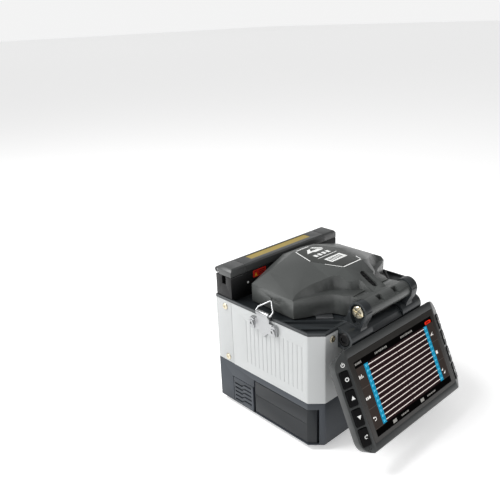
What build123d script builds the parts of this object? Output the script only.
from build123d import *
import math
import os

os.makedirs("parts", exist_ok=True)

# ---------------------------------------------------------------- driving dimensions (mm)
Y0 = 21.5766         # moves the body centre so that the whole object is centred on the origin
ZF = 3.0           # height of the rubber feet
HW = 64.0          # half width of the body
FY = -53.2         # front face of the body
RY = 53.2          # rear face of the body
CH = 9.0           # front corner chamfer
SEAM = 37.2        # top of the plastic base, bottom of the aluminium shell
RIM = 91.0         # top of the aluminium shell
WALL = 3.0
TILT = 24.7        # rest tilt of the monitor
MH = (-58.6, 85.3)  # monitor hinge axis (y, z)
CHG = (-61.0, 103.0)  # wind cover hinge axis (y, z)
HH = (50.6, 114.5)  # heater lid hinge axis (y, z)
RING = (65.6, 95.2)  # strap ring axis (|x|, z)
BY = -2.9          # centre of the strap bracket along y
LCD_Y, LCD_Z = -81.6, 50.2  # centre of the LCD face

st, ct = math.sin(math.radians(TILT)), math.cos(math.radians(TILT))


def xy(z):
    return Plane(origin=(0, Y0, ZF + z))


def xz(y):
    """Plane facing the front: local x = X, local y = Z, extrude goes to -Y."""
    return Plane(origin=(0, Y0 + y, ZF), x_dir=(1, 0, 0), z_dir=(0, -1, 0))


def yz(x):
    """Local x = Y, local y = Z, extrude goes to +X."""
    return Plane(origin=(x, Y0, ZF), x_dir=(0, 1, 0), z_dir=(1, 0, 0))


def mon(n):
    """Plane parallel to the screen, n in front of the LCD face: local x = X, local y = up the screen."""
    return Plane(origin=(0, Y0 + LCD_Y - n * ct, ZF + LCD_Z + n * st), x_dir=(1, 0, 0), z_dir=(0, -ct, st))


def mon_side(x):
    """Plane across the monitor: local x = up the screen, local y = outward from the screen."""
    return Plane(origin=(x, Y0 + LCD_Y, ZF + LCD_Z), x_dir=(0, st, ct), z_dir=(1, 0, 0))


def P3(x, y, z):
    return (x, Y0 + y, ZF + z)


def outline(inset=0.0, rear=None):
    k = inset * math.tan(math.radians(22.5))
    r = RY - inset if rear is None else rear
    return [(-HW + inset, r), (-HW + inset, FY + CH + k), (-HW + CH + k, FY + inset),
            (HW - CH - k, FY + inset), (HW - inset, FY + CH + k), (HW - inset, r)]


def poly(pts):
    return Polygon(*pts, align=None)


# ================================================================ base and battery
with BuildPart() as base_tray:
    with BuildSketch(xy(0)):
        poly(outline())
    extrude(amount=SEAM - 0.15)
    chamfer(base_tray.faces().sort_by(Axis.Z)[0].edges(), 1.6)
    fillet(base_tray.edges().filter_by(Axis.Z), 1.5)
    # electronics well
    with BuildSketch(xy(3.0)):
        poly([(-8, 50), (-8, -50), (53.7, -50), (60.8, -42.9), (60.8, 50)])
    extrude(amount=SEAM, mode=Mode.SUBTRACT)
    with BuildSketch(xy(3.0)):
        poly([(-53, 50), (-53, 15.5), (-7.9, 15.5), (-7.9, 50)])
    extrude(amount=SEAM, mode=Mode.SUBTRACT)
    # battery bay, open to the left side
    with BuildSketch(yz(-70)):
        with Locations((-19.05, 17.1)):
            Rectangle(62.1, 29.6)
    extrude(amount=61.0, mode=Mode.SUBTRACT)
    # latch pocket
    with BuildSketch(yz(-70)):
        with Locations((24.2, 13.15)):
            Rectangle(24.8, 23.9)
    extrude(amount=14.0, mode=Mode.SUBTRACT)
    # boss for the tripod insert
    with BuildSketch(xy(2.0)):
        Circle(7.4)
    extrude(amount=10.0)
    with BuildSketch(xy(-1)):
        Circle(5.0)
    extrude(amount=10.0, mode=Mode.SUBTRACT)
base_tray.part.label = "base_tray"
export_step(base_tray.part, "parts/base_tray.step")

with BuildPart() as tripod_insert:
    with BuildSketch(xy(0.1)):
        Circle(4.95)
        Circle(2.6, mode=Mode.SUBTRACT)
    extrude(amount=8.8)
tripod_insert.part.label = "tripod_insert"
export_step(tripod_insert.part, "parts/tripod_insert.step")

with BuildPart() as feet:
    with BuildSketch(xy(-ZF)):
        with Locations((-51, -40), (51, -40), (-51, 41), (51, 41)):
            Circle(8.0)
    extrude(amount=ZF)
    chamfer(feet.edges().filter_by(GeomType.CIRCLE).group_by(Axis.Z)[0], 1.0)
feet.part.label = "rubber_feet"
export_step(feet.part, "parts/rubber_feet.step")

with BuildPart() as battery_pack:
    with BuildSketch(xy(2.7)):
        poly([(-63.7, 11.2), (-9.5, 11.2), (-9.5, -48.4), (-58.9, -48.4), (-59.5, -47.8), (-63.7, -43.6)])
    extrude(amount=28.8)
    chamfer(battery_pack.edges().filter_by(Axis.Y).group_by(Axis.X)[0], 0.8)
    # pressed crease along the outer face
    with BuildSketch(yz(-64)):
        with Locations((-16.4, 19.2)):
            Rectangle(53, 1.0)
    extrude(amount=0.5, mode=Mode.SUBTRACT)
battery_pack.part.label = "battery_pack"
export_step(battery_pack.part, "parts/battery_pack.step")

with BuildPart() as battery_latch:
    with BuildSketch(yz(-64)):
        with Locations((24.7, 13.2)):
            RectangleRounded(22.4, 22.8, 1.2)
    extrude(amount=4.2)
    with BuildSketch(yz(-64)):
        for i in range(5):
            z = 3.9 + 3.7 * i
            poly([(34.6, z), (27.0, z), (24.2, z + 2.1), (15.6, z + 2.1), (15.6, z + 3.7), (23.6, z + 3.7), (26.4, z + 1.6), (34.6, z + 1.6)])
    extrude(amount=1.3, mode=Mode.SUBTRACT)
battery_latch.part.label = "battery_latch"
export_step(battery_latch.part, "parts/battery_latch.step")

# ================================================================ aluminium shell and panels
with BuildPart() as silver_shell:
    with BuildSketch(xy(SEAM)):
        with BuildLine():
            o = outline(0, 34.3)
            i = outline(WALL, 34.3)
            Polyline(*(o + i[::-1]), close=True)
        make_face()
    extrude(amount=RIM - SEAM)
    fillet(silver_shell.edges().filter_by(Axis.Z).filter_by(lambda e: abs(e.center().Y - (Y0 + FY)) < 9.5
           and abs(abs(e.center().X) + abs(e.center().Y - Y0) - (HW - FY - CH)) < 0.4), 2.0)
    # shallow flutes on both sides
    with BuildSketch(yz(-HW - 1.22)):
        for k in range(14):
            with Locations((-39.5 + 4.4 * k, 63.5)):
                SlotOverall(36, 0.9, rotation=90)
    extrude(amount=1.4, mode=Mode.SUBTRACT)
    with BuildSketch(yz(HW - 0.18)):
        for k in range(14):
            with Locations((-39.5 + 4.4 * k, 63.5)):
                SlotOverall(36, 0.9, rotation=90)
    extrude(amount=1.4, mode=Mode.SUBTRACT)
silver_shell.part.label = "aluminium_shell"
export_step(silver_shell.part, "parts/aluminium_shell.step")

with BuildPart() as side_plate_left:
    with BuildSketch(xy(SEAM)):
        poly([(-64, 34.6), (-61, 34.6), (-61, 53.2), (-63, 53.2), (-64, 52.2)])
    extrude(amount=RIM - SEAM)
side_plate_left.part.label = "side_plate_left"
export_step(side_plate_left.part, "parts/side_plate_left.step")

with BuildPart() as side_plate_right:
    with BuildSketch(xy(SEAM)):
        poly([(64, 34.6), (61, 34.6), (61, 53.2), (63, 53.2), (64, 52.2)])
    extrude(amount=RIM - SEAM)
side_plate_right.part.label = "side_plate_right"
export_step(side_plate_right.part, "parts/side_plate_right.step")

with BuildPart() as shell_screws:
    for sx in (-1, 1):
        with BuildSketch(yz(sx * 64)):
            with Locations((41.4, 86.0), (40.6, 41.6)):
                Circle(2.6)
        extrude(amount=0.9 * sx)
    with BuildSketch(xz(FY)):
        with Locations((-48, 86.5), (48, 86.5)):
            Circle(2.6)
    extrude(amount=0.9)
    chamfer(shell_screws.edges().filter_by(GeomType.CIRCLE).filter_by(lambda e: abs(e.center().X) > 64.5 or e.center().Y < Y0 + FY - 0.5), 0.4)
    for sx in (-1, 1):
        with BuildSketch(yz(sx * 64.5)):
            with Locations((41.4, 86.0), (40.6, 41.6)):
                RegularPolygon(1.2, 6)
        extrude(amount=1.0 * sx, mode=Mode.SUBTRACT)
    with BuildSketch(xz(FY - 0.5)):
        with Locations((-48, 86.5), (48, 86.5)):
            RegularPolygon(1.2, 6)
    extrude(amount=1.0, mode=Mode.SUBTRACT)
shell_screws.part.label = "shell_screws"
export_step(shell_screws.part, "parts/shell_screws.step")

with BuildPart() as rear_panel:
    with BuildSketch(xz(RY)):
        with Locations((0, (SEAM + RIM) / 2)):
            Rectangle(121.4, RIM - SEAM)
    extrude(amount=3.0)
    with BuildSketch(xz(RY + 1)):
        for k in range(8):
            with Locations((18 + 4.6 * k, 66)):
                SlotOverall(26, 2.0, rotation=90)
        with Locations((-44, 52)):
            Circle(4.6)
        with Locations((-24, 52)):
            Rectangle(13.0, 6.0)
    extrude(amount=6.0, mode=Mode.SUBTRACT)
    chamfer(rear_panel.faces().sort_by(Axis.Y)[-1].outer_wire().edges(), 0.6)
rear_panel.part.label = "rear_panel"
export_step(rear_panel.part, "parts/rear_panel.step")

with BuildPart() as dc_inlet:
    with BuildSketch(xz(RY - 0.4)):
        with Locations((-44, 52)):
            Circle(4.55)
            Circle(3.0, mode=Mode.SUBTRACT)
    extrude(amount=11.0)
    with BuildSketch(xz(RY - 10.0)):
        with Locations((-44, 52)):
            Circle(4.55)
    extrude(amount=1.4)
    with BuildSketch(xz(RY - 2.0)):
        with Locations((-44, 52)):
            Circle(1.05)
    extrude(amount=8.0)
dc_inlet.part.label = "dc_inlet"
export_step(dc_inlet.part, "parts/dc_inlet.step")

with BuildPart() as usb_port:
    with BuildSketch(xz(RY - 0.3)):
        with Locations((-24, 52)):
            Rectangle(12.8, 5.8)
            Rectangle(11.9, 4.9, mode=Mode.SUBTRACT)
    extrude(amount=13.0)
    with BuildSketch(xz(RY - 12.6)):
        with Locations((-24, 52)):
            Rectangle(12.8, 5.8)
    extrude(amount=0.7)
    with BuildSketch(xz(RY - 2.5)):
        with Locations((-24, 53.0)):
            Rectangle(11.2, 1.6)
    extrude(amount=10.5)
usb_port.part.label = "usb_port"
export_step(usb_port.part, "parts/usb_port.step")

# ================================================================ inner works
with BuildPart() as main_board:
    with BuildSketch(xy(40.0)):
        with Locations((0, -4)):
            Rectangle(112, 84)
        with Locations((-51, -41), (51, -41), (-51, 33), (51, 33)):
            Circle(1.7, mode=Mode.SUBTRACT)
    extrude(amount=1.6)
    with BuildSketch(xy(41.6)):
        with Locations((10, -14)):
            Rectangle(22, 22)
        with Locations((-22, -20), (38, -26)):
            Rectangle(12, 16)
        with Locations((-42, 18)):
            Rectangle(14, 8)
    extrude(amount=2.2)
main_board.part.label = "main_board"
export_step(main_board.part, "parts/main_board.step")

with BuildPart() as high_voltage_module:
    with BuildSketch(xy(41.7)):
        with Locations((30, 16)):
            RectangleRounded(44, 26, 2)
    extrude(amount=12)
    fillet(high_voltage_module.faces().sort_by(Axis.Z)[-1].edges(), 1.5)
high_voltage_module.part.label = "high_voltage_module"
export_step(high_voltage_module.part, "parts/high_voltage_module.step")

with BuildPart() as mechanism_chassis:
    with BuildSketch(xy(80.0)):
        with Locations((0, 1)):
            RectangleRounded(98, 44, 3)
        with Locations((0, 1)):
            Rectangle(18, 16, mode=Mode.SUBTRACT)
    extrude(amount=5.0)
    with BuildSketch(xy(64.0)):
        with Locations((-44, 1), (44, 1)):
            Rectangle(6, 40)
    extrude(amount=16.0)
mechanism_chassis.part.label = "mechanism_chassis"
export_step(mechanism_chassis.part, "parts/mechanism_chassis.step")

with BuildPart() as v_groove_block:
    with BuildSketch(xz(6.0)):
        poly([(-8.5, 85.0), (8.5, 85.0), (8.5, 95.0), (2.6, 95.0), (2.6, 92.0), (-2.6, 92.0), (-2.6, 95.0), (-8.5, 95.0)])
    extrude(amount=10.0)
    with BuildSketch(yz(-12)):
        poly([(0.0, 95.2), (2.0, 95.2), (1.0, 94.0)])
    extrude(amount=24, mode=Mode.SUBTRACT)
v_groove_block.part.label = "v_groove_block"
export_step(v_groove_block.part, "parts/v_groove_block.step")

with BuildPart() as electrodes:
    with BuildSketch(xz(18.0)):
        with Locations((0, 95.6)):
            Circle(1.0)
    extrude(amount=13.0)
    with BuildSketch(xz(-3.0)):
        with Locations((0, 95.6)):
            Circle(1.0)
    extrude(amount=13.0)
    chamfer(electrodes.edges().filter_by(GeomType.CIRCLE).filter_by(lambda e: abs(e.center().Y - (Y0 + 1)) < 6), 0.9)
electrodes.part.label = "electrodes"
export_step(electrodes.part, "parts/electrodes.step")

with BuildPart() as electrode_holders:
    for c in (13.0, -11.0):
        with BuildSketch(xz(c + 4)):
            with Locations((0, 92.0)):
                Rectangle(9, 14)
            with Locations((0, 95.6)):
                Circle(1.02, mode=Mode.SUBTRACT)
        extrude(amount=8.0)
electrode_holders.part.label = "electrode_holders"
export_step(electrode_holders.part, "parts/electrode_holders.step")

with BuildPart() as fibre_stages:
    for sx in (-1, 1):
        with BuildSketch(yz(sx * 16)):
            poly([(-8, 85.0), (11.5, 85.0), (11.5, 93.6), (7.6, 93.6), (7.6, 92.6), (-8, 92.6)])
        extrude(amount=26 * sx)
        with BuildSketch(yz(sx * 16)):
            poly([(0.2, 92.8), (1.8, 92.8), (1.0, 91.8)])
        extrude(amount=26 * sx, mode=Mode.SUBTRACT)
        # ears for the lid's trunnions
        for a, b in ((16.0, 19.6), (38.4, 42.0)):
            with BuildSketch(yz(sx * a)):
                poly([(8.0, 93.4), (11.5, 93.4), (11.5, 96.0), (8.3, 96.0)])
                with Locations((9.8, 95.9)):
                    Circle(1.6)
                with Locations((9.8, 95.9)):
                    Circle(0.65, mode=Mode.SUBTRACT)
            extrude(amount=(b - a) * sx)
fibre_stages.part.label = "fibre_stages"
export_step(fibre_stages.part, "parts/fibre_stages.step")

with BuildPart() as holder_lid_left:
    with BuildSketch(yz(-38)):
        poly([(-4.5, 93.0), (7.2, 93.0), (7.2, 94.6), (8.6, 94.8), (9.8, 94.9), (9.8, 96.9), (8.4, 97.0), (-3.5, 96.0), (-4.5, 95.2)])
        with Locations((9.8, 95.9)):
            Circle(1.2)
    extrude(amount=18)
    with BuildSketch(yz(-38 - 1.6)):
        with Locations((9.8, 95.9)):
            Circle(0.6)
    extrude(amount=21.2)
holder_lid_left.part.label = "holder_lid_left"
export_step(holder_lid_left.part, "parts/holder_lid_left.step")

with BuildPart() as holder_lid_right:
    with BuildSketch(yz(20)):
        poly([(-4.5, 93.0), (7.2, 93.0), (7.2, 94.6), (8.6, 94.8), (9.8, 94.9), (9.8, 96.9), (8.4, 97.0), (-3.5, 96.0), (-4.5, 95.2)])
        with Locations((9.8, 95.9)):
            Circle(1.2)
    extrude(amount=18)
    with BuildSketch(yz(20 - 1.6)):
        with Locations((9.8, 95.9)):
            Circle(0.6)
    extrude(amount=21.2)
holder_lid_right.part.label = "holder_lid_right"
export_step(holder_lid_right.part, "parts/holder_lid_right.step")

with BuildPart() as objective_lenses:
    for sx in (-1, 1):
        with BuildSketch(Plane(origin=P3(sx * 2.0, 1, 78), x_dir=(0, 1, 0), z_dir=(sx * 0.7071, 0, -0.7071))):
            Circle(5.0)
        extrude(amount=20)
        with BuildSketch(Plane(origin=P3(sx * 2.0 + sx * 14.1, 1, 63.9), x_dir=(0, 1, 0), z_dir=(sx * 0.7071, 0, -0.7071))):
            Rectangle(14, 14)
        extrude(amount=6)
    with BuildSketch(Plane(origin=P3(0, -6, 72), x_dir=(1, 0, 0), z_dir=(0, 1, 0))):
        poly([(-1.2, -9), (1.2, -9), (1.2, 12), (-1.2, 12)])
    extrude(amount=14, mode=Mode.SUBTRACT)
objective_lenses.part.label = "objective_lenses"
export_step(objective_lenses.part, "parts/objective_lenses.step")

with BuildPart() as stage_motors:
    with BuildSketch(xz(20)):
        with Locations((-32, 72), (32, 72)):
            Circle(6.5)
    extrude(amount=28)
    with BuildSketch(xz(-8)):
        with Locations((-32, 72), (32, 72)):
            Circle(1.5)
    extrude(amount=8)
stage_motors.part.label = "stage_motors"
export_step(stage_motors.part, "parts/stage_motors.step")

# ================================================================ deck with the hinge ears
with BuildPart() as deck_frame:
    with BuildSketch(xy(86.5)):
        poly(outline(3.3, 49.8))
    extrude(amount=RIM + 0.05 - 86.5)
    with BuildSketch(xy(RIM + 0.05)):
        poly(outline(0.4))
    extrude(amount=0.95)
    # rim that stands around the deck
    with BuildSketch(xy(91.4)):
        poly(outline(0.4))
    extrude(amount=1.9)
    with BuildSketch(xy(91.4)):
        poly(outline(1.9, 51.7))
    extrude(amount=3.0, mode=Mode.SUBTRACT)
    # the two ridges across each front corner
    with BuildSketch(xy(91.3)):
        for sx in (-1, 1):
            poly([(sx * 62.4, -18.6), (sx * 62.4, -16.5), (sx * 27.6, -53.0), (sx * 29.6, -53.0)])
            poly([(sx * 62.4, -35.6), (sx * 62.4, -33.5), (sx * 43.0, -52.9), (sx * 45.1, -52.9)])
    extrude(amount=1.9)
    # hinge ears: barrel of the monitor hinge and post of the cover hinge, on each side
    for sx in (-1, 1):
        with BuildSketch(yz(sx * 18.4)):
            with Locations(MH):
                Circle(7.0)
            poly([(-58.6, 78.3), (-53.4, 78.3), (-53.4, 91.2), (-49.6, 91.2), (-49.6, 93.2), (-54.6, 93.2), (-58.6, 92.3)])
        extrude(amount=sx * 23.8)
        with BuildSketch(yz(sx * 24.0)):
            poly([(-65.1, 83.0), (-64.2, 89.0), (-64.6, 92.5), (-67.9, 99.0), (-68.5, 103.5), (-53.5, 103.5),
                  (-52.6, 98.5), (-47.6, 93.2), (-47.6, 91.2), (-53.4, 91.2), (-53.4, 83.0)])
            with Locations(CHG):
                Circle(7.5)
        extrude(amount=sx * 7.0)
    # bridge between the ears
    with BuildSketch(yz(-18.6)):
        poly([(-54.6, 91.4), (-49.0, 91.4), (-49.0, 92.5), (-54.0, 92.5), (-54.6, 92.1)])
    extrude(amount=37.2)
    # the barrels stay clear of the shell's front wall
    with BuildSketch(xy(70)):
        for sx in (-1, 1):
            with Locations((sx * 30.4, -51.65)):
                Rectangle(25.0, 3.4)
    extrude(amount=RIM + 0.04 - 70, mode=Mode.SUBTRACT)
    # bores for both hinge pins, recesses for the caps and for the knobs
    with BuildSketch(yz(-60)):
        with Locations(MH):
            Circle(2.4)
        with Locations(CHG):
            Circle(2.0)
    extrude(amount=120, mode=Mode.SUBTRACT)
    for sx in (-1, 1):
        with BuildSketch(yz(sx * 42.2)):
            with Locations(MH):
                Circle(5.1)
        extrude(amount=-2.2 * sx, mode=Mode.SUBTRACT)
        with BuildSketch(yz(sx * 31.0)):
            with Locations(CHG):
                Circle(5.9)
            poly([(-66.4, 102.6), (-65.6, 99.4), (-62.8, 93.6), (-57.6, 93.6), (-54.9, 98.4), (-55.3, 102.6)])
        extrude(amount=-3.2 * sx, mode=Mode.SUBTRACT)
    # chamber opening
    with BuildSketch(xy(80)):
        with Locations((0, 1)):
            RectangleRounded(92, 38, 3)
    extrude(amount=20, mode=Mode.SUBTRACT)
deck_frame.part.label = "deck_frame"
export_step(deck_frame.part, "parts/deck_frame.step")

with BuildPart() as deck_clip_plates:
    with BuildSketch(xy(91.4)):
        for sx in (-1, 1):
            poly([(sx * 40.5, -31.7), (sx * 34.0, -24.5), (sx * 24.5, -31.0), (sx * 27.8, -36.0), (sx * 31.8, -40.4)])
    extrude(amount=0.9)
deck_clip_plates.part.label = "deck_clip_plates"
export_step(deck_clip_plates.part, "parts/deck_clip_plates.step")

with BuildPart() as monitor_hinge_pin:
    with BuildSketch(yz(-39.9)):
        with Locations(MH):
            Circle(2.38)
    extrude(amount=79.8)
monitor_hinge_pin.part.label = "monitor_hinge_pin"
export_step(monitor_hinge_pin.part, "parts/monitor_hinge_pin.step")

with BuildPart() as hinge_end_caps:
    for sx in (-1, 1):
        with BuildSketch(yz(sx * 40.05)):
            with Locations(MH):
                Circle(5.0)
        extrude(amount=2.3 * sx)
    chamfer(hinge_end_caps.edges().filter_by(GeomType.CIRCLE).filter_by(lambda e: abs(e.center().X) > 42), 0.7)
    for sx in (-1, 1):
        with BuildSketch(yz(sx * 41.4)):
            with Locations(MH):
                Circle(2.6)
        extrude(amount=3.0 * sx, mode=Mode.SUBTRACT)
hinge_end_caps.part.label = "hinge_end_caps"
export_step(hinge_end_caps.part, "parts/hinge_end_caps.step")

with BuildPart() as cover_hinge_pin:
    with BuildSketch(yz(-27.7)):
        with Locations(CHG):
            Circle(1.98)
    extrude(amount=55.4)
cover_hinge_pin.part.label = "cover_hinge_pin"
export_step(cover_hinge_pin.part, "parts/cover_hinge_pin.step")

with BuildPart() as cover_hinge_screws:
    for sx in (-1, 1):
        with BuildSketch(yz(sx * 27.85)):
            with Locations(CHG):
                Circle(4.6)
        extrude(amount=3.4 * sx)
    chamfer(cover_hinge_screws.edges().filter_by(GeomType.CIRCLE).filter_by(lambda e: abs(e.center().X) > 31), 0.6)
    for sx in (-1, 1):
        with BuildSketch(yz(sx * 30.2)):
            with Locations(CHG):
                Rectangle(10, 1.5, rotation=20)
                Rectangle(10, 1.5, rotation=110)
        extrude(amount=3.0 * sx, mode=Mode.SUBTRACT)
cover_hinge_screws.part.label = "cover_hinge_screws"
export_step(cover_hinge_screws.part, "parts/cover_hinge_screws.step")

# ================================================================ strap brackets and rings
with BuildPart() as strap_bracket_left:
    with BuildSketch(yz(-64)):
        poly([(BY + 6.4, 93.6), (BY + 6.4, 89.4), (BY + 12.4, 89.4), (BY + 13.9, 87.9), (BY + 13.9, 81.2), (BY + 12.9, 80.2),
              (BY + 4.6, 80.6), (BY, 76.0), (BY - 4.6, 80.6), (BY - 12.9, 80.2), (BY - 13.9, 81.2), (BY - 13.9, 87.9),
              (BY - 12.4, 89.4), (BY - 6.4, 89.4), (BY - 6.4, 93.6)])
    extrude(amount=-2.2)
    for s in (-1, 1):
        with BuildSketch(yz(-66.2)):
            with Locations((BY + s * 10.9, 84.8)):
                RectangleRounded(4.5, 8.6, 1.0)
        extrude(amount=-1.0)
    # rolled knuckle that holds the ring
    with BuildSketch(yz(-RING[0])):
        poly([(BY - 6.0, 92.5), (BY + 6.0, 92.5), (BY + 6.0, 95.2), (BY - 6.0, 95.2)])
    extrude(amount=1.1, both=True)
    with BuildSketch(xz(BY + 6.0)):
        with Locations((-RING[0], RING[1])):
            Circle(1.9)
    extrude(amount=12.0)
    with BuildSketch(xz(BY + 8.0)):
        with Locations((-RING[0], RING[1])):
            Circle(0.9)
    extrude(amount=16.0, mode=Mode.SUBTRACT)
    with BuildSketch(yz(-70)):
        with Locations((BY - 10.9, 84.8), (BY + 10.9, 84.8)):
            Circle(1.5)
    extrude(amount=10.0, mode=Mode.SUBTRACT)
strap_bracket_left.part.label = "strap_bracket_left"
export_step(strap_bracket_left.part, "parts/strap_bracket_left.step")

with BuildPart() as strap_bracket_right:
    add(mirror(strap_bracket_left.part, about=Plane.YZ))
strap_bracket_right.part.label = "strap_bracket_right"
export_step(strap_bracket_right.part, "parts/strap_bracket_right.step")

with BuildPart() as bracket_screws:
    for sx in (-1, 1):
        with BuildSketch(yz(sx * 67.2)):
            with Locations((BY - 10.9, 84.8), (BY + 10.9, 84.8)):
                Circle(2.3)
        extrude(amount=0.7 * sx)
        with BuildSketch(yz(sx * 64.05)):
            with Locations((BY - 10.9, 84.8), (BY + 10.9, 84.8)):
                Circle(1.48)
        extrude(amount=3.3 * sx)
    for sx in (-1, 1):
        with BuildSketch(yz(sx * 67.3)):
            with Locations((BY - 10.9, 84.8), (BY + 10.9, 84.8)):
                RegularPolygon(1.25, 6)
        extrude(amount=1.0 * sx, mode=Mode.SUBTRACT)
bracket_screws.part.label = "bracket_screws"
export_step(bracket_screws.part, "parts/bracket_screws.step")

# triangular wire ring, leaning inwards over the rim
LEAN = math.radians(50)
ring_plane = Plane(origin=P3(-RING[0], BY, RING[1]), x_dir=(0, 1, 0), z_dir=(math.cos(LEAN), 0, -math.sin(LEAN)))
with BuildPart() as strap_ring_left:
    with BuildLine(ring_plane) as ring_line:
        FilletPolyline((7.6, 0), (7.6, 3.6), (0, 11.4), (-7.6, 3.6), (-7.6, 0), radius=1.3, close=True)
    with BuildSketch(Plane(origin=P3(-RING[0], BY, RING[1]), x_dir=(1, 0, 0), z_dir=(0, 1, 0))):
        Circle(0.82)
    sweep(path=ring_line.line)
strap_ring_left.part.label = "strap_ring_left"
export_step(strap_ring_left.part, "parts/strap_ring_left.step")

with BuildPart() as strap_ring_right:
    add(mirror(strap_ring_left.part, about=Plane.YZ))
strap_ring_right.part.label = "strap_ring_right"
export_step(strap_ring_right.part, "parts/strap_ring_right.step")

# ================================================================ tube heater
HX0, HX1 = -63.0, 60.5
with BuildPart() as heater_housing:
    with BuildSketch(xy(91.45)):
        with Locations(((HX0 + HX1) / 2, 43.0)):
            Rectangle(HX1 - HX0, 17.4)
    extrude(amount=111.0 - 91.45)
    with BuildSketch(xy(101.0)):
        with Locations((-0.8, 42.6)):
            Rectangle(90.4, 8.4)
    extrude(amount=20, mode=Mode.SUBTRACT)
    with BuildSketch(xy(104.4)):
        with Locations((0, 42.6)):
            Rectangle(140, 4.4)
    extrude(amount=20, mode=Mode.SUBTRACT)
    with BuildSketch(xz(55)):
        with Locations((HX0, 92.2)):
            Rectangle(2.3, 2.4)
    extrude(amount=25, mode=Mode.SUBTRACT)
    # lugs for the hinge pin
    for lx in (-50.0, 45.4):
        with BuildSketch(yz(lx)):
            poly([(49.0, 110.9), (51.7, 110.9), (52.9, 114.5), (48.3, 114.5)])
            with Locations(HH):
                Circle(2.3)
            with Locations(HH):
                Circle(1.1, mode=Mode.SUBTRACT)
        extrude(amount=2.4)
heater_housing.part.label = "heater_housing"
export_step(heater_housing.part, "parts/heater_housing.step")

with BuildPart() as heating_plate:
    with BuildSketch(yz(-45.0)):
        poly([(38.7, 101.2), (46.5, 101.2), (46.5, 104.6), (45.0, 104.6), (42.6, 102.6), (40.2, 104.6), (38.7, 104.6)])
    extrude(amount=88.6)
heating_plate.part.label = "heating_plate"
export_step(heating_plate.part, "parts/heating_plate.step")

with BuildPart() as heater_hinge_pin:
    with BuildSketch(yz(-62.4)):
        with Locations(HH):
            Circle(1.08)
    extrude(amount=122.3)
heater_hinge_pin.part.label = "heater_hinge_pin"
export_step(heater_hinge_pin.part, "parts/heater_hinge_pin.step")

with BuildPart() as heater_lid:
    with BuildSketch(yz(-47.0)):
        poly([(34.3, 111.4), (48.0, 111.4), (48.4, 112.4), (48.4, 114.5), (50.6, 116.8), (49.0, 118.0), (35.6, 118.0), (34.3, 116.8)])
        with Locations(HH):
            Circle(2.3)
            Circle(1.15, mode=Mode.SUBTRACT)
    extrude(amount=91.8)
    with BuildSketch(yz(-60.0)):
        with Locations(HH):
            Circle(1.15)
    extrude(amount=120, mode=Mode.SUBTRACT)
    # recess below the lid and the window opening
    with BuildSketch(xy(111.0)):
        with Locations((-2, 42.3)):
            Rectangle(84, 9.6)
    extrude(amount=5.0, mode=Mode.SUBTRACT)
    with BuildSketch(xy(115.0)):
        with Locations((-1.6, 43.4)):
            Rectangle(69.2, 7.2)
    extrude(amount=5.0, mode=Mode.SUBTRACT)
heater_lid.part.label = "heater_lid"
export_step(heater_lid.part, "parts/heater_lid.step")

with BuildPart() as heater_window:
    with BuildSketch(xy(116.05)):
        with Locations((-1.6, 43.4)):
            Rectangle(69.1, 7.1)
    extrude(amount=1.75)
    with BuildSketch(xy(114.6)):
        with Locations((-1.6, 42.3)):
            Rectangle(72, 9.4)
    extrude(amount=1.35)
heater_window.part.label = "heater_window"
export_step(heater_window.part, "parts/heater_window.step")

with BuildPart() as heater_clamp_left:
    with BuildSketch(yz(HX0)):
        poly([(34.3, 111.4), (48.0, 111.4), (48.4, 112.4), (48.4, 114.5), (50.6, 116.8), (49.0, 118.0), (35.6, 118.0), (34.3, 116.8)])
        with Locations(HH):
            Circle(2.3)
    extrude(amount=15.4)
    with BuildSketch(yz(-80)):
        with Locations(HH):
            Circle(1.15)
    extrude(amount=120, mode=Mode.SUBTRACT)
    with BuildSketch(yz(-50.3)):
        poly([(47.8, 110), (54, 110), (54, 119), (47.8, 119)])
    extrude(amount=6, mode=Mode.SUBTRACT)
    with BuildSketch(xz(60)):
        poly([(HX0 - 1, 114.6), (HX0 + 3.2, 119.2), (HX0 - 1, 119.2)])
    extrude(amount=40, mode=Mode.SUBTRACT)
heater_clamp_left.part.label = "heater_clamp_left"
export_step(heater_clamp_left.part, "parts/heater_clamp_left.step")

with BuildPart() as heater_clamp_right:
    with BuildSketch(yz(HX1)):
        poly([(34.3, 111.4), (48.0, 111.4), (48.4, 112.4), (48.4, 114.5), (50.6, 116.8), (49.0, 118.0), (35.6, 118.0), (34.3, 116.8)])
        with Locations(HH):
            Circle(2.3)
    extrude(amount=-15.3)
    with BuildSketch(yz(-80)):
        with Locations(HH):
            Circle(1.15)
    extrude(amount=160, mode=Mode.SUBTRACT)
    with BuildSketch(yz(48.1)):
        poly([(47.8, 110), (54, 110), (54, 119), (47.8, 119)])
    extrude(amount=-6, mode=Mode.SUBTRACT)
    with BuildSketch(xz(60)):
        poly([(HX1 + 1, 114.6), (HX1 - 3.2, 119.2), (HX1 + 1, 119.2)])
    extrude(amount=40, mode=Mode.SUBTRACT)
heater_clamp_right.part.label = "heater_clamp_right"
export_step(heater_clamp_right.part, "parts/heater_clamp_right.step")

with BuildPart() as warning_label:
    with BuildSketch(xz(34.28)):
        with Locations((-33.0, 107.4)):
            RectangleRounded(14.0, 6.0, 0.8)
    extrude(amount=0.25)
warning_label.part.label = "warning_label"
export_step(warning_label.part, "parts/warning_label.step")

# ================================================================ wind cover
Z_PLATEAU, Z_EAVE, Z_LOW = 122.5, 106.8, 92.6
plateau = [(-11.5, 17.0), (11.5, 17.0), (20.0, -6.5), (10.7, -33.0), (-10.7, -33.0), (-20.0, -6.5)]


def scallop(cx, cy, a, b, t0, t1, n):
    return [(cx + a * math.cos(math.radians(t)), cy + b * math.sin(math.radians(t)))
            for t in [t0 + (t1 - t0) * k / n for k in range(n + 1)]]


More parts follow.
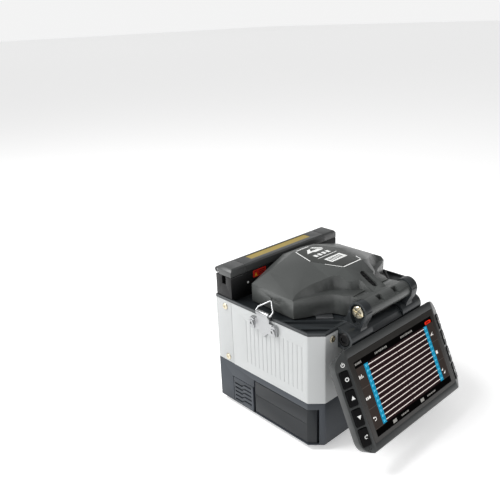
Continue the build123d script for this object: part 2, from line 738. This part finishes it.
with BuildPart() as cover_cavity:
    inner = [P3(x * 0.86, y * 0.86 - 0.6, Z_PLATEAU - 2.6) for x, y in plateau]
    inner += [P3(s * 49.4, y, z) for s in (-1, 1) for y in (20.8, -17.2) for z in (Z_LOW - 2, Z_EAVE - 2.6)]
    inner += [P3(s * 10.0, 27.4, z) for s in (-1, 1) for z in (Z_LOW - 2, 114.2)]
    inner += [P3(s * 8.0, -36.0, z) for s in (-1, 1) for z in (Z_LOW - 2, 116.0)]
    ConvexPolyhedron(inner)
    with BuildSketch(xy(85)):
        poly([(-50, 30), (-50, -17.2), (-34, -19.0), (-26, -22.4), (-18, -27.4), (-12.0, -33.2), (-9.0, -38),
              (9.0, -38), (12.0, -33.2), (18, -27.4), (26, -22.4), (34, -19.0), (50, -17.2), (50, 30)])
    extrude(amount=40, mode=Mode.INTERSECT)

# skirt below the ledge; the ledge climbs towards the spine
with BuildPart() as cover_skirt:
    with BuildSketch(xy(Z_LOW)):
        lw = [(-53.3, -21.5), (-46.5, -25.6), (-38.6, -28.9), (-33.2, -31.0), (-29.4, -33.4), (-27.0, -36.2), (-25.6, -39.4),
              (-24.8, -42.6), (-23.6, -45.4), (-21.8, -47.4), (-20.9, -49.4)]
        poly([(-52, 10)] + lw + [(-x, y) for x, y in lw[::-1]] + [(52, 10)])
    extrude(amount=18)
    with BuildSketch(xz(20)):
        poly([(-60, 90), (-60, 106.0), (-53.3, 106.4), (-14, 108.5), (14, 108.5), (53.3, 106.4), (60, 106.0), (60, 90)])
    extrude(amount=80, mode=Mode.INTERSECT)

# upper tier: walls that lean back near the outer corners and stand upright beside the spine
foot = [(-55.0, -21.2), (-48.8, -22.2), (-41.9, -24.0), (-35.3, -26.2), (-29.0, -28.2), (-24.4, -29.7), (-20.6, -31.4), (-18.4, -33.8),
        (-17.2, -36.6), (-16.0, -39.6), (-14.0, -42.2), (-11.2, -43.8), (-8.6, -45.0), (-7.6, -47.2), (-7.6, -58.5)]
head = [(-55.0, -2.0), (-48.8, -4.0), (-41.9, -11.0), (-35.3, -17.6), (-29.0, -24.2), (-24.0, -28.0), (-20.2, -30.6), (-17.8, -33.6),
        (-16.6, -36.6), (-15.4, -39.4), (-13.5, -41.8), (-10.8, -43.3), (-8.0, -44.6), (-7.0, -47.0), (-7.0, -58.5)]
with BuildPart() as cover_crown:
    with BuildSketch(xy(Z_LOW)):
        poly([(-58, 32)] + foot + [(-x, y) for x, y in foot[::-1]] + [(58, 32)])
    with BuildSketch(xy(106.0)):
        poly([(-58, 32)] + foot + [(-x, y) for x, y in foot[::-1]] + [(58, 32)])
    loft(ruled=True)
    with BuildSketch(xy(106.0)):
        poly([(-58, 32)] + foot + [(-x, y) for x, y in foot[::-1]] + [(58, 32)])
    with BuildSketch(xy(123.5)):
        poly([(-58, 32)] + head + [(-x, y) for x, y in head[::-1]] + [(58, 32)])
    loft(ruled=True)

with BuildPart() as wind_cover:
    hull_top = [P3(x, y, Z_PLATEAU) for x, y in plateau]
    hull_top += [P3(x, y, z) for x, y, e in ((-52, 23.0, Z_EAVE), (-53.3, -21.4, Z_EAVE), (54.6, 24.0, 108.6), (54.8, -21.8, 108.4)) for z in (Z_LOW, e)]
    hull_top += [P3(40.0, y, 115.6) for y in (15.0, -9.0)]
    hull_top += [P3(-39.0, y, 113.9) for y in (18.0, -8.0)]
    hull_top += [P3(s * 10.5, 30.0, z) for s in (-1, 1) for z in (Z_LOW, 117.0)]
    hull_top += [P3(s * 7.6, -57.0, z) for s in (-1, 1) for z in (Z_LOW, 108.4)]
    ConvexPolyhedron(hull_top)
    add(cover_crown.part, mode=Mode.INTERSECT)
    add(cover_skirt.part)
    # neck between the ears and its barrel
    with BuildSketch(yz(-21.0)):
        poly([(-48.8, 95.0), (-56.0, 95.4), (-61.0, 97.0), (-61.0, 109.4), (-54.0, 108.9), (-48.8, 107.6)])
    extrude(amount=42.0)
    with BuildSketch(yz(-23.5)):
        with Locations(CHG):
            Circle(6.5)
    extrude(amount=47.0)
    with BuildSketch(yz(-7.2)):
        poly([(-40, 104), (-58.4, 104), (-60.8, 109.3), (-57.0, 109.6), (-46, 114.6), (-40, 116)])
    extrude(amount=14.4)
    # two square sockets in the barrel
    with BuildSketch(xy(105.6)):
        with Locations((-9.6, -64.0), (8.6, -64.0)):
            Rectangle(5.6, 5.4)
    extrude(amount=6.0, mode=Mode.SUBTRACT)
    # underside of the neck clears the deck's rim
    with BuildSketch(yz(-30)):
        poly([(-49.4, 92.0), (-70.0, 92.0), (-70.0, 94.6), (-56.0, 94.6), (-49.4, 94.6)])
    extrude(amount=60, mode=Mode.SUBTRACT)
    # hollow inside
    add(cover_cavity.part, mode=Mode.SUBTRACT)
    # slot for the status lamps on the spine
    with BuildSketch(Plane(origin=P3(0, -47.0, 114.4), x_dir=(1, 0, 0), z_dir=(0, -0.5, 0.866))):
        SlotOverall(16.4, 5.4, rotation=90)
    extrude(amount=3.0, both=True, mode=Mode.SUBTRACT)
    # bore for the hinge pin
    with BuildSketch(yz(-30)):
        with Locations(CHG):
            Circle(2.05)
    extrude(amount=60, mode=Mode.SUBTRACT)
    # finger notch at the foot of both ends
    for sx in (-1, 1):
        with BuildSketch(yz(sx * 52.5)):
            with Locations((-4.5, 95.0)):
                Rectangle(8.4, 5.4)
        extrude(amount=-1.6 * sx, mode=Mode.SUBTRACT)
    with BuildSketch(yz(-52.9)):
        with Locations((-2.4, 100.6)):
            Rectangle(9.0, 2.2)
    extrude(amount=0.8, mode=Mode.SUBTRACT)
wind_cover.part.label = "wind_cover"
export_step(wind_cover.part, "parts/wind_cover.step")

with BuildPart() as cover_badge:
    with BuildSketch(xy(Z_PLATEAU + 0.03)):
        poly([(x * 0.9, (y + 7.8) * 0.9 - 7.8) for x, y in plateau])
    extrude(amount=0.35)
cover_badge.part.label = "cover_badge"
export_step(cover_badge.part, "parts/cover_badge.step")

with BuildPart() as status_lamps:
    with BuildSketch(Plane(origin=P3(0, -46.0, 112.7), x_dir=(1, 0, 0), z_dir=(0, -0.5, 0.866))):
        SlotOverall(15.8, 4.8, rotation=90)
    extrude(amount=0.8)
    with BuildSketch(Plane(origin=P3(0, -46.4, 113.4), x_dir=(1, 0, 0), z_dir=(0, -0.5, 0.866))):
        for k in range(4):
            with Locations((0, -4.8 + 3.2 * k)):
                Circle(1.0)
    extrude(amount=0.7)
status_lamps.part.label = "status_lamps"
export_step(status_lamps.part, "parts/status_lamps.step")

with BuildPart() as cover_mirror_bar:
    with BuildSketch(yz(-11)):
        poly([(-7.0, 119.7), (-7.0, 117.4), (-3.0, 116.2), (5.0, 116.2), (9.0, 117.4), (9.0, 119.7)])
    extrude(amount=22)
cover_mirror_bar.part.label = "cover_mirror_bar"
export_step(cover_mirror_bar.part, "parts/cover_mirror_bar.step")

# ================================================================ monitor
N_FRONT, N_SPLIT, N_BACK = 0.8, -8.4, -11.4
WING = (52.5, 62.0, -3.4)     # wing starts, ends, and its depth at the end
wl = math.hypot(WING[1] - WING[0], N_FRONT - WING[2])
WNX, WNN = (N_FRONT - WING[2]) / wl, (WING[1] - WING[0]) / wl   # outward normal of the wing (x, n)


def wing_plane(sx, u, lift):
    """Plane on the slanted wing: local y = up the screen, z = out of the wing."""
    x = sx * (57.25 + WNX * lift)
    n = (N_FRONT + WING[2]) / 2 + WNN * lift
    o = P3(x, LCD_Y - n * ct + u * st, LCD_Z + n * st + u * ct)
    z = (sx * WNX, -ct * WNN, st * WNN)
    y = (0, st, ct)
    xd = (y[1] * z[2] - y[2] * z[1], y[2] * z[0] - y[0] * z[2], y[0] * z[1] - y[1] * z[0])
    return Plane(origin=o, x_dir=xd, z_dir=z)


BUTTONS = [(18.65, 11.9), (5.55, 11.7), (-8.3, 12.4), (-22.3, 13.0)]

with BuildPart() as monitor_bezel:
    with BuildSketch(mon(N_SPLIT)):
        with Locations((0, 0.5)):
            RectangleRounded(124, 73, 12.0)
    extrude(amount=N_FRONT - N_SPLIT)
    # side wings slant backwards
    with BuildSketch(Plane(origin=P3(0, LCD_Y - 60 * st, LCD_Z - 60 * ct), x_dir=(1, 0, 0), z_dir=(0, st, ct))):
        for sx in (-1, 1):
            poly([(sx * 52.5, -N_FRONT), (sx * 62.0, -WING[2]), (sx * 70, 0.0), (sx * 70, -5), (sx * 52.5, -5)])
    extrude(amount=120, mode=Mode.SUBTRACT)
    # top edge falls away behind the front rim
    with BuildSketch(mon_side(-70)):
        poly([(37.5, 0.2), (36.9, -0.6), (30.2, -8.4), (30.2, -9.6), (45, -9.6), (45, 0.2)])
    extrude(amount=140, mode=Mode.SUBTRACT)
    with BuildSketch(mon_side(-70)):
        poly([(-36.4, -1.4), (-34.4, N_FRONT + 0.2), (-45, N_FRONT + 0.2), (-45, -1.4)])
    extrude(amount=140, mode=Mode.SUBTRACT)
    # room for the panel and the glass
    with BuildSketch(mon(N_SPLIT)):
        with Locations((0, -0.4)):
            Rectangle(101.0, 59.4)
    extrude(amount=N_FRONT - N_SPLIT - 2.0, mode=Mode.SUBTRACT)
    with BuildSketch(mon(-3)):
        with Locations((0, -0.2)):
            Rectangle(96.4, 55.4)
    extrude(amount=10, mode=Mode.SUBTRACT)
    with BuildSketch(mon(-0.1)):
        with Locations((0, 0.6)):
            RectangleRounded(104.2, 61.2, 1.5)
    extrude(amount=4, mode=Mode.SUBTRACT)
    # button pockets in the wings
    for sx in (-1, 1):
        for bu, bh in BUTTONS:
            with BuildSketch(wing_plane(sx, bu, -4.0)):
                RectangleRounded(7.2, bh + 0.3, 1.3)
            extrude(amount=8.0, mode=Mode.SUBTRACT)
monitor_bezel.part.label = "monitor_bezel"
export_step(monitor_bezel.part, "parts/monitor_bezel.step")

with BuildPart() as monitor_rear_shell:
    with BuildSketch(mon(N_BACK)):
        with Locations((0, -3.2)):
            RectangleRounded(117, 59.6, 9.5)
    with BuildSketch(mon(N_SPLIT)):
        with Locations((0, -2.9)):
            RectangleRounded(123.6, 66.0, 11.9)
    loft()
    with BuildSketch(mon(N_SPLIT)):
        with Locations((0, -0.4)):
            Rectangle(101.0, 58.0)
    extrude(amount=-1.6, mode=Mode.SUBTRACT)
    # vent grooves on the back
    with BuildSketch(mon(N_BACK - 0.5)):
        for k in range(7):
            with Locations((0, -14.0 + 4.0 * k)):
                SlotOverall(60, 1.4)
    extrude(amount=1.1, mode=Mode.SUBTRACT)
monitor_rear_shell.part.label = "monitor_rear_shell"
export_step(monitor_rear_shell.part, "parts/monitor_rear_shell.step")

with BuildPart() as monitor_arm:
    with BuildSketch(mon_side(-17.9)):
        poly([(43.6, -1.5), (37.6, -0.4), (30.4, -8.8), (30.4, -11.0), (41.5, -11.4), (45.5, -9.0)])
        with Locations((41.5, -6.2)):
            Circle(5.2)
    extrude(amount=35.8)
    with BuildSketch(yz(-30)):
        with Locations(MH):
            Circle(2.44)
    extrude(amount=60, mode=Mode.SUBTRACT)
monitor_arm.part.label = "monitor_arm"
export_step(monitor_arm.part, "parts/monitor_arm.step")

with BuildPart() as display_glass:
    with BuildSketch(mon(0.02)):
        with Locations((0, 0.6)):
            RectangleRounded(104.0, 61.0, 1.4)
    extrude(amount=0.72)
display_glass.part.label = "display_glass"
export_step(display_glass.part, "parts/display_glass.step")

with BuildPart() as lcd_panel:
    with BuildSketch(mon(-4.2)):
        with Locations((0, -0.4)):
            Rectangle(100.4, 58.8)
    extrude(amount=2.9)
    with BuildSketch(mon(-1.3)):
        with Locations((0, -0.2)):
            Rectangle(96.0, 55.0)
    extrude(amount=1.3)
lcd_panel.part.label = "lcd_panel"
export_step(lcd_panel.part, "parts/lcd_panel.step")

with BuildPart() as monitor_board:
    with BuildSketch(mon(-6.6)):
        with Locations((0, -0.4)):
            Rectangle(98, 56)
    extrude(amount=1.6)
    with BuildSketch(mon(-6.6)):
        with Locations((-20, 4)):
            Rectangle(14, 14)
        with Locations((18, -6)):
            Rectangle(20, 9)
        with Locations((0, 20)):
            Rectangle(24, 5)
    extrude(amount=-1.6)
monitor_board.part.label = "monitor_board"
export_step(monitor_board.part, "parts/monitor_board.step")

for side, sx in (("left", -1), ("right", 1)):
    for k, (bu, bh) in enumerate(BUTTONS):
        with BuildPart() as button:
            with BuildSketch(wing_plane(sx, bu, -2.7)):
                RectangleRounded(6.6, bh - 0.4, 1.1)
            extrude(amount=3.5)
            fillet(button.faces().sort_by(lambda f: f.center().dot(wing_plane(sx, bu, 0).z_dir))[-1].edges(), 0.5)
        button.part.label = f"button_{side}_{k + 1}"
        export_step(button.part, f"parts/button_{side}_{k + 1}.step")
